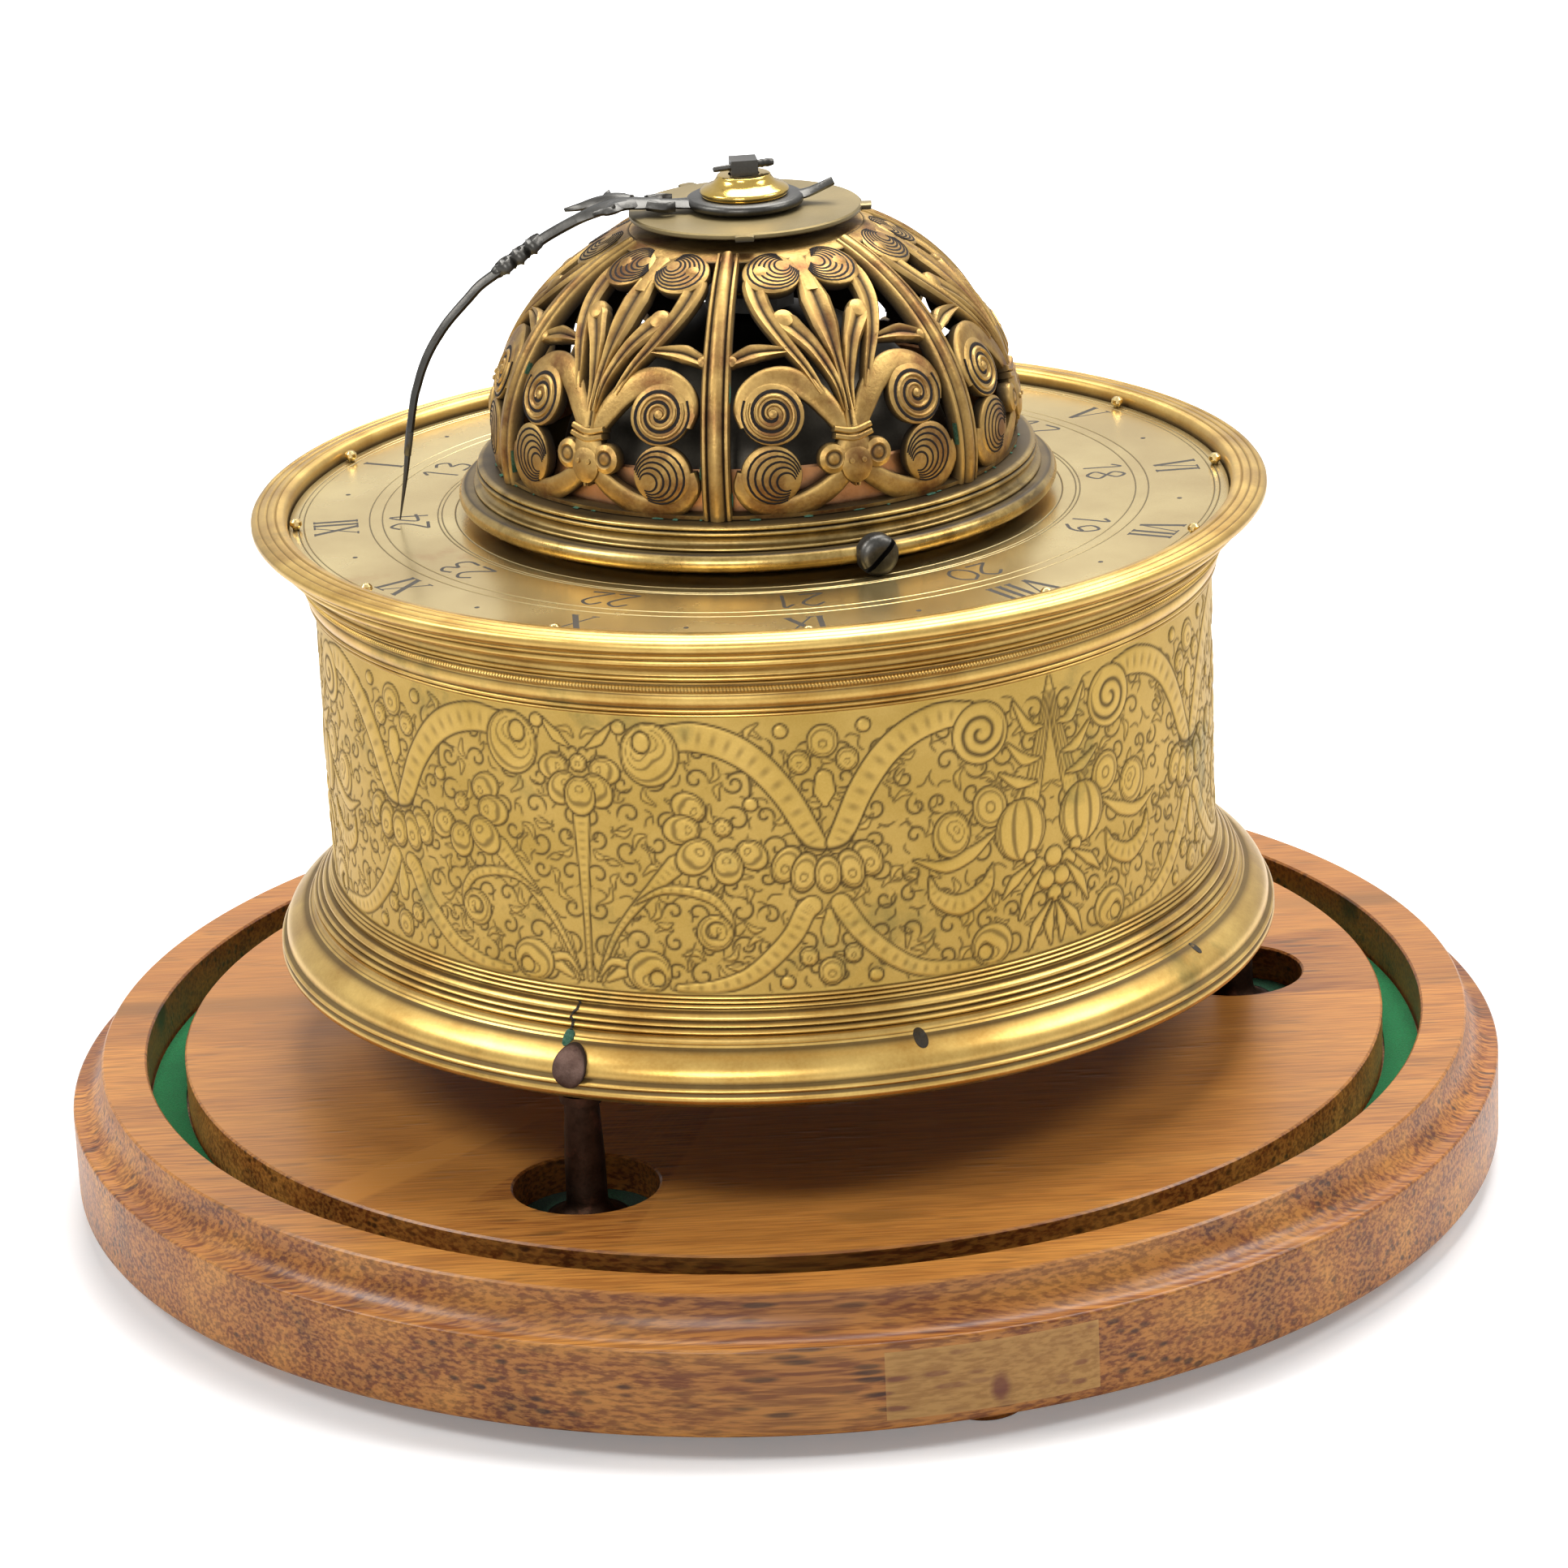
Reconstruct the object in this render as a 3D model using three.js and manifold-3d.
// Table clock: a gilt drum case with a flat hour dial on top, a pierced dome over the bell,
// a fusee going train, a striking train, and a turned wooden stand with a felt-lined groove.
// Millimetres, +Z up. The origin is the centre of the stand, at the level its feet rest on.
import * as THREE from 'three';
import { mergeVertices } from 'three/addons/utils/BufferGeometryUtils.js';
import Module from 'manifold-3d';

const wasm = await Module();
wasm.setup();

// Clearances shared by the whole clock
const runningGap = 0.3;
const seatGap = 0.05;
const cutOverrun = 1.0;

// Facets: how many sides a turned piece has, by its size
const largeSides = 28;
const middleSides = 20;
const smallSides = 10;
const tinySides = 6;

// Wooden stand
const boardRadius = 108.6;
const boardSideInset = 4.8;
const boardThickness = 19.5;
const boardTopRadius = boardRadius - boardSideInset;
const boardSideTop = 6.2;
const boardCoveStep = 1.0;
const boardCoveLip = 0.9;
const grooveInset = 11.6;
const grooveWidth = 5.8;
const grooveOuterRadius = boardRadius - grooveInset;
const grooveInnerRadius = grooveOuterRadius - grooveWidth;
const grooveDepth = 8.0;
const feltThickness = 0.9;
const footRecessRadius = 10.5;
const footRecessDepth = 6.0;
const standFootRadius = 5.8;
const standFootHeight = 3.0;
const standFootInset = 10.6;
const standFootCircle = boardRadius - standFootInset;
const standFootAngle = -75;
const inlayWidth = 31.0;
const inlayHeight = 9.0;
const inlayDepth = 1.6;
const inlayAngle = -76;

// Iron feet of the case
const caseFootAngle = -114.5;
const caseFootCount = 3;
const footPostRadius = 3.15;
const footDiscRadius = 6.2;
const footDiscThickness = 1.3;
const footFlareHeight = 3.2;
const footTenonRadius = 1.5;
const footTenonHeight = 3.2;

// Case, its mouldings measured outwards from its wall
const wallOuterRadius = 66.56;
const wallThickness = 1.66;
const caseFootReach = 3.44;
const caseFootCircle = wallOuterRadius + caseFootReach;
const underCaseHeight = 13.4;
const baseMouldingHeight = 15.3;
const baseFlareReach = 8.74;
const baseFlareRadius = wallOuterRadius + baseFlareReach;
const baseFlareLift = 2.1;
const baseStepReach = 4.04;
const baseStepRadius = wallOuterRadius + baseStepReach;
const coveReach = 1.84;
const filletReach = 0.94;
const baseBeadRadius = wallOuterRadius + coveReach;
const baseFilletRadius = wallOuterRadius + filletReach;
const topMouldingHeight = 13.6;
const rimReach = 8.44;
const rimRadius = wallOuterRadius + rimReach;
const rimWidth = 5.3;
const rimInnerRadius = rimRadius - rimWidth;
const rimRise = 2.0;
const rimEdgeDrop = 1.65;
const collarReach = 6.04;
const collarRadius = wallOuterRadius + collarReach;
const collarDrop = 4.4;
const topCoveRadius = wallOuterRadius + coveReach;
const topFilletRadius = wallOuterRadius + filletReach;
const mouldingFillet = 1.0;

// Dial
const dialThickness = 1.6;
const touchKnobRadius = 0.95;
const touchKnobHeight = 1.7;
const touchKnobInset = 1.3;
const touchKnobCircle = rimInnerRadius - touchKnobInset;
const hourCount = 12;
const dialTurn = 5;

// Dome
const domeRingRadius = 44.2;
const domeRingInnerRadius = 37.0;
const domeRingHeight = 7.7;
const domeRingLift = 0.35;
const domeRingShoulder = 41.2;
const domeRingNeckRadius = 38.6;
const domeRingNeckHeight = 1.35;
const domeRingTorusHeight = 2.76;
const domeRingBelly = 1.4;
const domeRingCollarRadius = 40.6;
const domeRadius = 38.84;
const domeHalfHeight = 32.38;
const domeEquatorRise = 4.3;
const domeWall = 1.8;
const domeBandShare = 3.2;
const domeTopRadius = 17.2;
const domeTopThickness = 1.5;
const domeBossRadius = 9.0;
const domeBossHeight = 1.75;
const ribCount = 6;
const ribAngle = -98.8;
const ribWidth = 4.0;
const volutePlate = 4.4;
const fanPlate = 4.3;
const shellPlate = 4.0;
const knotPlate = 4.6;
const scrollWidth = 2.6;
const leafWidth = 2.5;
const plateSides = 6;
const domeScrewAngle = -68.5;
const domeScrewHeadRadius = 3.0;
const domeScrewHeadHeight = 1.9;
const domeScrewShankRadius = 1.3;
const domeScrewShankLength = 6.0;
const domeScrewSlot = 0.8;

// Bell and its stand
const bellRadius = 29.0;
const bellHeight = 25.0;
const bellWall = 1.6;
const bellLift = 4.6;
const bellCrownDeg = 76;
const bellStandFlange = 7.5;
const bellStandFlangeThickness = 1.6;
const bellStandRadius = 5.0;
const bellNeckRadius = 4.2;
const bellNeckLength = 4.2;
const bellNutRadius = 6.8;
const bellNutHeight = 2.2;

// Hand, its arbor and what stands on top of the dome
const handArborRadius = 2.8;
const handSquare = 3.9;
const handSquareRise = 6.8;
const handPivotRadius = 1.5;
const topDiscRadius = 17.0;
const topDiscThickness = 0.9;
const topDiscTab = 1.5;
const topDiscTabWidth = 2.8;
const handAngle = 185.5;
const handEyeRadius = 8.4;
const handThickness = 1.5;
const handNeckWidth = 3.4;
const handBladeWidth = 3.4;
const handTipWidth = 0.9;
const handReach = 53.1;
const handTipClearance = 0.45;
const handWingSpan = 12.5;
const handWingLength = 9.0;
const handKnotRadius = 2.0;
const handKnotLength = 8.6;
const handTailLength = 4.6;
const handBarbWidth = 4.6;
const colletRadius = 6.5;
const colletTopRadius = 3.95;
const colletHeight = 3.0;
const taperPinRadius = 0.62;
const taperPinLength = 9.4;
const taperPinAngle = 22;

// Movement plates and pillars
const plateInset = 6.06;
const plateRadius = wallOuterRadius - plateInset;
const plateThickness = 2.0;
const bottomPlateRise = 10.6;
const pillarInset = 4.0;
const pillarCircle = plateRadius - pillarInset;
const pillarRadius = 2.6;
const pillarKnopRadius = 3.4;
const pillarTenonRadius = 1.6;
const pillarAnglesDeg = [-60, 0, 135, 195];
const dialFootHeight = 7.9;
const dialFootInset = 10.5;
const dialFootCircle = plateRadius - dialFootInset;
const dialFootRadius = 2.4;
const dialFootCount = 3;
const dialFootAngle = 30;

// Levels inside the movement, each measured from the piece below it
const greatWheelLift = 2.0;
const greatWheelThickness = 2.2;
const pinionOverlap = 0.5;
const barrelLift = 1.2;
const barrelHeight = 26.0;
const upperWheelLift = 2.6;
const wheelThickness = 1.4;
const liftingPinHeight = 1.6;
const warningWheelLift = 0.6;
const flyVaneLift = 0.8;
const flyVaneHeight = 3.6;
const topPlateLift = 0.6;
const arborRadius = 1.5;
const pivotRadius = 0.85;
const windingSquare = 3.4;
const windingReach = 8.4;

// Wheels: module in millimetres and numbers of teeth
const greatModule = 1.4;
const greatTeeth = 30;
const secondPinionTeeth = 6;
const secondModule = 1.08;
const secondTeeth = 30;
const contratePinionTeeth = 6;
const contrateModule = 1.25;
const contrateTeeth = 24;
const crownPinionTeeth = 6;
const crownTeeth = 15;
const hourModule = 1.43;
const hourTeeth = 28;
const hourPinionTeeth = 7;
const strikeModule = 1.49;
const strikeTeeth = 28;
const pinPinionTeeth = 7;
const pinWheelModule = 0.97;
const pinWheelTeeth = 28;
const warningPinionTeeth = 7;
const warningModule = 0.84;
const warningTeeth = 24;
const flyPinionTeeth = 6;
const countModule = 1.0;
const countTeeth = 36;
const countPinionTeeth = 6;
const liftingPinCount = 13;
const liftingPinRadius = 0.8;

// Where the arbors stand: each direction in degrees from the arbor that drives it
const fuseeAngle = 200;
const barrelFromFusee = 75;
const barrelDistance = 36.0;
const secondFromFusee = -70;
const contrateFromSecond = 10;
const crownFromContrate = 15;
const strikeBarrelX = 26.0;
const strikeBarrelY = 18.0;
const pinFromStrike = 120;
const warningFromPin = 170;
const flyFromWarning = 175;
const countFromPin = 230;
const hammerCircle = 32.0;
const hammerAngle = 110;

// Barrels, fusee and gut line
const barrelRadius = 16.6;
const barrelWall = 1.2;
const barrelEndThickness = 1.6;
const springInnerRadius = 6.0;
const fuseeBaseRadius = 15.0;
const fuseeTopRadius = 7.0;
const fuseeHeight = 24.0;
const fuseeGrooveDepth = 0.6;
const fuseeTurns = 5;
const lineRadius = 0.6;
const lineWrapDeg = 42;

// Escapement
const crownRadius = 8.5;
const crownRim = 1.3;
const crownTooth = 3.2;
const crownWeb = 1.2;
const crownOffset = 21.6;
const crownBracketNear = 8.0;
const crownBracketFar = 19.2;
const bracketWidth = 5.0;
const bracketThickness = 2.0;
const verge = 0.9;
const vergeStandOff = 3.0;
const palletThickness = 0.8;
const palletHeight = 2.6;
const palletSpreadDeg = 50;
const balanceRadius = 12.0;
const balanceRim = 1.5;
const balanceThickness = 1.4;
const balanceDrop = 4.0;
const balanceHubRadius = 2.6;
const cockThickness = 1.6;
const cockDrop = 1.6;
const cockWidth = 6.0;
const cockReach = 16.5;
const cockFootRadius = 4.2;
const cockDirection = -100;

// Striking work
const countWheelDrop = 3.2;
const countWheelThickness = 1.6;
const lockingDiscRadius = 14.2;
const lockingDiscThickness = 1.4;
const lockingNotchDepth = 1.8;
const lockingNotchWidth = 0.9;
const flyRadius = 6.4;
const flyVaneThickness = 0.6;
const hammerArborRadius = 1.2;
const hammerHeadRadius = 2.1;
const hammerHeadLength = 4.6;
const hammerSweepDeg = 24;
const hammerArmWidth = 2.0;
const hammerArmThickness = 1.4;
const hammerArmRise = 5.2;
const hammerBellGap = 0.6;
const hammerTailGap = 0.45;
const bracketStandOff = 5.2;
const bracketFootThickness = 1.2;

// Colours and finishes of the materials
const finishes = {
  giltBrass: { color: '#b89646', roughness: 0.35, metalness: 1.0 },
  dialBrass: { color: '#c8af6e', roughness: 0.4, metalness: 1.0 },
  domeGilt: { color: '#a8763c', roughness: 0.38, metalness: 1.0 },
  dullBrass: { color: '#8c7a50', roughness: 0.5, metalness: 1.0 },
  polishedBrass: { color: '#d2aa46', roughness: 0.18, metalness: 1.0 },
  movementBrass: { color: '#b4943f', roughness: 0.35, metalness: 1.0 },
  iron: { color: '#55544f', roughness: 0.45, metalness: 1.0 },
  bellMetal: { color: '#4b4a46', roughness: 0.4, metalness: 1.0 },
  steel: { color: '#7d7f82', roughness: 0.3, metalness: 1.0 },
  wood: { color: '#be6e3c', roughness: 0.45, metalness: 0.0 },
  inlayWood: { color: '#d7a069', roughness: 0.5, metalness: 0.0 },
  felt: { color: '#0f6e41', roughness: 0.95, metalness: 0.0 },
  gut: { color: '#c8aa78', roughness: 0.6, metalness: 0.0 },
};

// Levels worked out from the sizes above
const standTop = standFootHeight + boardThickness;
const caseBottom = standTop + underCaseHeight;
const bandBottom = caseBottom + baseMouldingHeight;
const bottomPlateBottom = caseBottom + bottomPlateRise;
const bottomPlateTop = bottomPlateBottom + plateThickness;
const greatWheelBottom = bottomPlateTop + greatWheelLift;
const greatWheelTop = greatWheelBottom + greatWheelThickness;
const barrelBottom = greatWheelTop + barrelLift;
const barrelTop = barrelBottom + barrelHeight;
const upperWheelBottom = barrelTop + upperWheelLift;
const upperWheelTop = upperWheelBottom + wheelThickness;
const warningWheelBottom = upperWheelTop + liftingPinHeight + warningWheelLift;
const warningWheelTop = warningWheelBottom + wheelThickness;
const flyVaneBottom = warningWheelTop + flyVaneLift;
const topPlateBottom = flyVaneBottom + flyVaneHeight + topPlateLift;
const topPlateTop = topPlateBottom + plateThickness;
const dialBottom = topPlateTop + dialFootHeight;
const dialTop = dialBottom + dialThickness;
const rimTop = dialTop + rimRise;
const bandTop = rimTop - topMouldingHeight;
const domeRingBottom = dialTop + domeRingLift;
const domeRingTop = domeRingBottom + domeRingHeight;
const domeCentre = domeRingTop + domeEquatorRise;
const domeTopCut = domeCentre + domeHalfHeight * Math.sqrt(1 - (domeTopRadius / domeRadius) ** 2);
const bossTop = domeTopCut + domeBossHeight;
const topDiscBottom = bossTop + seatGap;
const topDiscTop = topDiscBottom + topDiscThickness;
const handBottom = topDiscTop + runningGap;
const handTop = handBottom + handThickness;
const colletBottom = handTop + seatGap;
const colletTop = colletBottom + colletHeight;
const handArborTop = handBottom + handSquareRise;
const wallInnerRadius = wallOuterRadius - wallThickness;

const clock = new THREE.Group();
const degrees = Math.PI / 180;

// Adds one named piece with its own material to the clock.
function piece(name, geometry, finish) {
  const mesh = new THREE.Mesh(closed(geometry), new THREE.MeshStandardMaterial(finishes[finish]));
  mesh.name = name;
  clock.add(mesh);
  return mesh;
}

// Joins shared corners, drops triangles that have no area, and turns the faces outwards.
function closed(geometry) {
  geometry.deleteAttribute('normal');
  geometry.deleteAttribute('uv');
  const merged = mergeVertices(geometry, 1e-4);
  const corners = merged.getIndex().array;
  const points = merged.getAttribute('position');
  const kept = [];
  let volume = 0;
  const a = new THREE.Vector3();
  const b = new THREE.Vector3();
  const c = new THREE.Vector3();
  for (let i = 0; i < corners.length; i += 3) {
    const [p, q, r] = [corners[i], corners[i + 1], corners[i + 2]];
    if (p === q || q === r || r === p) continue;
    kept.push(p, q, r);
    a.fromBufferAttribute(points, p);
    b.fromBufferAttribute(points, q);
    c.fromBufferAttribute(points, r);
    volume += a.dot(b.cross(c));
  }
  if (volume < 0) kept.reverse();
  merged.setIndex(kept);
  return merged;
}

function solid(geometry) {
  const tidy = closed(geometry);
  return new wasm.Manifold(new wasm.Mesh({
    numProp: 3,
    vertProperties: new Float32Array(tidy.getAttribute('position').array),
    triVerts: new Uint32Array(tidy.getIndex().array),
  }));
}

function surface(body) {
  const mesh = body.getMesh();
  const geometry = new THREE.BufferGeometry();
  geometry.setAttribute('position', new THREE.BufferAttribute(new Float32Array(mesh.vertProperties), 3));
  geometry.setIndex(new THREE.BufferAttribute(new Uint32Array(mesh.triVerts), 1));
  return geometry;
}

function unite(geometries) {
  return surface(geometries.map(solid).reduce((whole, next) => whole.add(next)));
}

function cut(geometry, cutters) {
  return surface(cutters.map(solid).reduce((rest, next) => rest.subtract(next), solid(geometry)));
}

// A turned solid about the Z axis. The profile is a list of [radius, height]; it either starts
// and ends on the axis, or is closed on itself here.
function turned(profile, sides = middleSides) {
  const points = profile.map(([radius, height]) => new THREE.Vector2(radius, height));
  const first = points[0];
  const last = points[points.length - 1];
  if (first.x > 0 || last.x > 0) points.push(first.clone());
  return new THREE.LatheGeometry(points, sides).rotateX(Math.PI / 2);
}

function cylinder(radius, bottom, top, sides = smallSides) {
  return turned([[0, bottom], [radius, bottom], [radius, top], [0, top]], sides);
}

function ring(inner, outer, bottom, top, sides = middleSides) {
  return turned([[inner, bottom], [outer, bottom], [outer, top], [inner, top]], sides);
}

function block(sizeX, sizeY, bottom, top) {
  return new THREE.BoxGeometry(sizeX, sizeY, top - bottom).translate(0, 0, (bottom + top) / 2);
}

// A flat outline raised from one height to another.
function raised(shape, bottom, top, curveSegments = smallSides) {
  const options = { depth: top - bottom, bevelEnabled: false, curveSegments };
  return new THREE.ExtrudeGeometry(shape, options).translate(0, 0, bottom);
}

// Points of an arc as [radius, height] pairs for a profile, angles in degrees.
function arc(centreRadius, centreHeight, sizeR, sizeZ, from, to, steps) {
  return Array.from({ length: steps + 1 }, (_, i) => {
    const angle = (from + ((to - from) * i) / steps) * degrees;
    return [centreRadius + sizeR * Math.cos(angle), centreHeight + sizeZ * Math.sin(angle)];
  });
}

function polar(distance, angleDeg, from = { x: 0, y: 0 }) {
  return {
    x: from.x + distance * Math.cos(angleDeg * degrees),
    y: from.y + distance * Math.sin(angleDeg * degrees),
  };
}

function at(geometry, place) {
  return geometry.translate(place.x, place.y, 0);
}

function boreRadius(shaftRadius, sides = tinySides) {
  return (shaftRadius + runningGap) / Math.cos(Math.PI / sides);
}

// A hole with flat sides, so that it clears a round shaft by the running gap.
function hole(place, radius, sides = tinySides) {
  const path = new THREE.Path();
  const points = Array.from({ length: sides }, (_, i) => polar(radius, (360 * i) / sides, place));
  path.setFromPoints(points.map((p) => new THREE.Vector2(p.x, p.y)));
  return path;
}

function disc(radius, sides) {
  const points = Array.from({ length: sides }, (_, i) => polar(radius, (360 * i) / sides));
  return new THREE.Shape(points.map((p) => new THREE.Vector2(p.x, p.y)));
}

// Wooden stand

const boardUnderside = standTop - boardThickness;
const coveCentre = boardRadius - boardCoveStep;
const board = turned([
  [0, boardUnderside],
  [boardRadius, boardUnderside],
  [boardRadius, standTop - boardSideTop],
  ...arc(coveCentre, standTop - boardCoveLip, coveCentre - boardTopRadius,
    boardSideTop - boardCoveLip, 270, 180, 3),
  [boardTopRadius, standTop],
  [grooveOuterRadius, standTop],
  [grooveOuterRadius, standTop - grooveDepth],
  [grooveInnerRadius, standTop - grooveDepth],
  [grooveInnerRadius, standTop],
  [0, standTop],
], largeSides);

const footAngles = Array.from({ length: caseFootCount }, (_, i) => caseFootAngle + (360 * i) / caseFootCount);
const recessBottom = standTop - footRecessDepth;
const recesses = footAngles.map((angle) => at(
  cylinder(footRecessRadius, recessBottom, standTop + cutOverrun, middleSides), polar(caseFootCircle, angle),
));

// The let-in patch on the side of the board, and the pocket that takes it.
function inlayBlock(width, height, depth, backOff) {
  const centre = (boardUnderside + standTop - boardSideTop) / 2;
  const inside = boardRadius * Math.cos(Math.PI / largeSides) - inlayDepth - backOff;
  const body = new THREE.BoxGeometry(depth, width, height);
  return body.translate(inside + depth / 2, 0, centre).rotateZ(inlayAngle * degrees);
}
const patch = inlayBlock(inlayWidth, inlayHeight, boardRadius, 0);
const patchPocket = inlayBlock(
  inlayWidth + 2 * runningGap, inlayHeight + 2 * runningGap, boardRadius, runningGap,
);
const boardEnvelope = cylinder(boardRadius, boardUnderside, standTop, largeSides);
piece('stand_board', cut(board, [...recesses, patchPocket]), 'wood');
piece('stand_inlay', surface(solid(patch).intersect(solid(boardEnvelope))), 'inlayWood');

const grooveFloor = standTop - grooveDepth + seatGap;
piece('groove_felt', ring(grooveInnerRadius + runningGap, grooveOuterRadius - runningGap,
  grooveFloor, grooveFloor + feltThickness, largeSides), 'felt');
const footPositions = ['front', 'right', 'rear'];
footPositions.forEach((position, i) => {
  const place = polar(standFootCircle, standFootAngle + (360 * i) / footPositions.length);
  piece(`stand_foot_${position}`, at(cylinder(standFootRadius, 0, standFootHeight - seatGap), place), 'wood');
});

// Case

const flareTop = caseBottom + baseFlareLift;
const baseMoulding = turned([
  [wallInnerRadius, caseBottom],
  [baseStepRadius, caseBottom],
  [baseFlareRadius, flareTop],
  ...arc(baseFlareRadius, flareTop + baseMouldingHeight * 0.42,
    baseFlareRadius - baseStepRadius, baseMouldingHeight * 0.42, 270, 180, 3).slice(1),
  [baseBeadRadius + mouldingFillet / 2, bandBottom - 2 * mouldingFillet],
  [baseFilletRadius, bandBottom - mouldingFillet],
  [baseFilletRadius, bandBottom],
  [wallInnerRadius, bandBottom],
], largeSides);

const footTop = caseBottom - seatGap;
const tenonTop = caseBottom + footTenonHeight;
const tenonHoles = footAngles.map((angle) => at(
  cylinder(boreRadius(footTenonRadius), caseBottom - cutOverrun, tenonTop + runningGap, tinySides),
  polar(caseFootCircle, angle),
));

piece('bottom_moulding', cut(baseMoulding, tenonHoles), 'giltBrass');

piece('case_band', ring(wallInnerRadius, wallOuterRadius, bandBottom + seatGap, bandTop - seatGap,
  largeSides), 'giltBrass');

const collarTop = rimTop - collarDrop + mouldingFillet;
piece('top_moulding', turned([
  [wallInnerRadius, bandTop],
  [topFilletRadius, bandTop],
  [topFilletRadius, bandTop + mouldingFillet],
  ...arc(collarRadius - mouldingFillet, bandTop + 2 * mouldingFillet, collarRadius - mouldingFillet
    - topCoveRadius, collarTop - bandTop - 4 * mouldingFillet, 180, 90, 3),
  [collarRadius, collarTop - mouldingFillet],
  [rimRadius - mouldingFillet, collarTop],
  [rimRadius, rimTop - rimEdgeDrop],
  [rimRadius - 2 * mouldingFillet, rimTop],
  [rimInnerRadius, rimTop],
  [rimInnerRadius, dialBottom - seatGap],
  [wallInnerRadius, dialBottom - seatGap],
], largeSides), 'giltBrass');

const footBase = recessBottom + seatGap;
const footProfile = [
  [0, footBase],
  [footDiscRadius, footBase],
  [footDiscRadius, footBase + footDiscThickness],
  [footPostRadius, footBase + footDiscThickness + footFlareHeight],
  [footPostRadius, footTop],
  [footTenonRadius, footTop],
  [footTenonRadius, tenonTop],
  [0, tenonTop],
];
footPositions.forEach((position, i) => {
  const place = polar(caseFootCircle, footAngles[i]);
  piece(`case_foot_${position}`, at(turned(footProfile, smallSides), place), 'iron');
});

// Places of the arbors in the movement

const centre = { x: 0, y: 0 };
function pitchRadius(module, teeth) {
  return (module * teeth) / 2;
}
const fuseePlace = polar(pitchRadius(hourModule, hourTeeth + hourPinionTeeth), fuseeAngle);
const barrelPlace = polar(barrelDistance, barrelFromFusee, fuseePlace);
const secondPlace = polar(pitchRadius(greatModule, greatTeeth + secondPinionTeeth),
  secondFromFusee, fuseePlace);
const contratePlace = polar(pitchRadius(secondModule, secondTeeth + contratePinionTeeth),
  contrateFromSecond, secondPlace);
const contrateRadius = pitchRadius(contrateModule, contrateTeeth);
const vergePlace = polar(crownOffset + crownWeb + crownTooth + vergeStandOff,
  crownFromContrate, contratePlace);
const strikePlace = { x: strikeBarrelX, y: strikeBarrelY };
const pinPlace = polar(pitchRadius(strikeModule, strikeTeeth + pinPinionTeeth), pinFromStrike, strikePlace);
const warningPlace = polar(pitchRadius(pinWheelModule, pinWheelTeeth + warningPinionTeeth),
  warningFromPin, pinPlace);
const flyPlace = polar(pitchRadius(warningModule, warningTeeth + flyPinionTeeth),
  flyFromWarning, warningPlace);
const countPlace = polar(pitchRadius(countModule, countTeeth + countPinionTeeth), countFromPin, pinPlace);
const hammerPlace = polar(hammerCircle, hammerAngle);

// Dial plate, its feet and the touch knobs at the hours

const dialShape = disc(rimInnerRadius - runningGap, largeSides);
dialShape.holes.push(hole(centre, boreRadius(handArborRadius, smallSides), smallSides));
dialShape.holes.push(hole(hammerPlace, boreRadius(hammerArborRadius)));
const knobProfile = [
  [0, dialTop - seatGap],
  [touchKnobRadius / 2, dialTop - seatGap],
  [touchKnobRadius, dialTop + touchKnobHeight * 0.55],
  [touchKnobRadius / 2, dialTop + touchKnobHeight * 0.9],
  [0, dialTop + touchKnobHeight],
];
const touchKnobs = Array.from({ length: hourCount }, (_, i) => at(
  turned(knobProfile, 4), polar(touchKnobCircle, dialTurn + (360 * i) / hourCount),
));
const dialFeet = Array.from({ length: dialFootCount }, (_, i) => at(
  cylinder(dialFootRadius, topPlateTop + seatGap, dialBottom + seatGap, tinySides),
  polar(dialFootCircle, dialFootAngle + (360 * i) / dialFootCount),
));
piece('dial_plate', unite([raised(dialShape, dialBottom, dialTop), ...touchKnobs, ...dialFeet]), 'dialBrass');

// Dome ring, with a hole for each screw

const torusBottom = domeRingBottom + domeRingNeckHeight;
const torusMiddle = torusBottom + domeRingTorusHeight / 2;
const bellyRadius = domeRingRadius - domeRingBelly;
const domeRing = turned([
  [domeRingInnerRadius, domeRingBottom],
  [domeRingNeckRadius, domeRingBottom],
  [domeRingNeckRadius, torusBottom],
  [bellyRadius, torusBottom],
  ...arc(bellyRadius, torusMiddle, domeRingBelly, domeRingTorusHeight / 2, -60, 75, 3),
  [domeRingShoulder, torusBottom + domeRingTorusHeight],
  [domeRingCollarRadius, torusBottom + domeRingTorusHeight + mouldingFillet],
  [domeRingCollarRadius, domeRingTop - mouldingFillet],
  [domeRingShoulder, domeRingTop - mouldingFillet / 2],
  [domeRingShoulder, domeRingTop],
  [domeRingInnerRadius, domeRingTop],
], middleSides + middleSides / 5);
const domeScrewAngles = [domeScrewAngle, domeScrewAngle + 180];
function domeScrewAlong(geometry) {
  const laid = geometry.rotateY(90 * degrees)
    .translate(domeRingRadius, 0, torusMiddle);
  return (angle) => laid.clone().rotateZ(angle * degrees);
}
const screwHoles = domeScrewAngles.map(domeScrewAlong(
  cylinder(boreRadius(domeScrewShankRadius), -2 * domeScrewShankLength, domeScrewHeadHeight, tinySides),
));
piece('dome_ring', cut(domeRing, screwHoles), 'giltBrass');
const screwHead = turned([
  [0, -domeScrewShankLength],
  [domeScrewShankRadius, -domeScrewShankLength],
  [domeScrewShankRadius, runningGap],
  [domeScrewHeadRadius, runningGap],
  [domeScrewHeadRadius * 0.9, runningGap + domeScrewHeadHeight / 2],
  [domeScrewHeadRadius / 2, runningGap + domeScrewHeadHeight],
  [0, runningGap + domeScrewHeadHeight],
], smallSides);
const slotBottom = runningGap + domeScrewHeadHeight / 2;
const screwSlot = block(3 * domeScrewHeadRadius, domeScrewSlot, slotBottom, slotBottom + domeScrewHeadHeight);
const domeScrew = domeScrewAlong(cut(screwHead, [screwSlot]));
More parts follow.
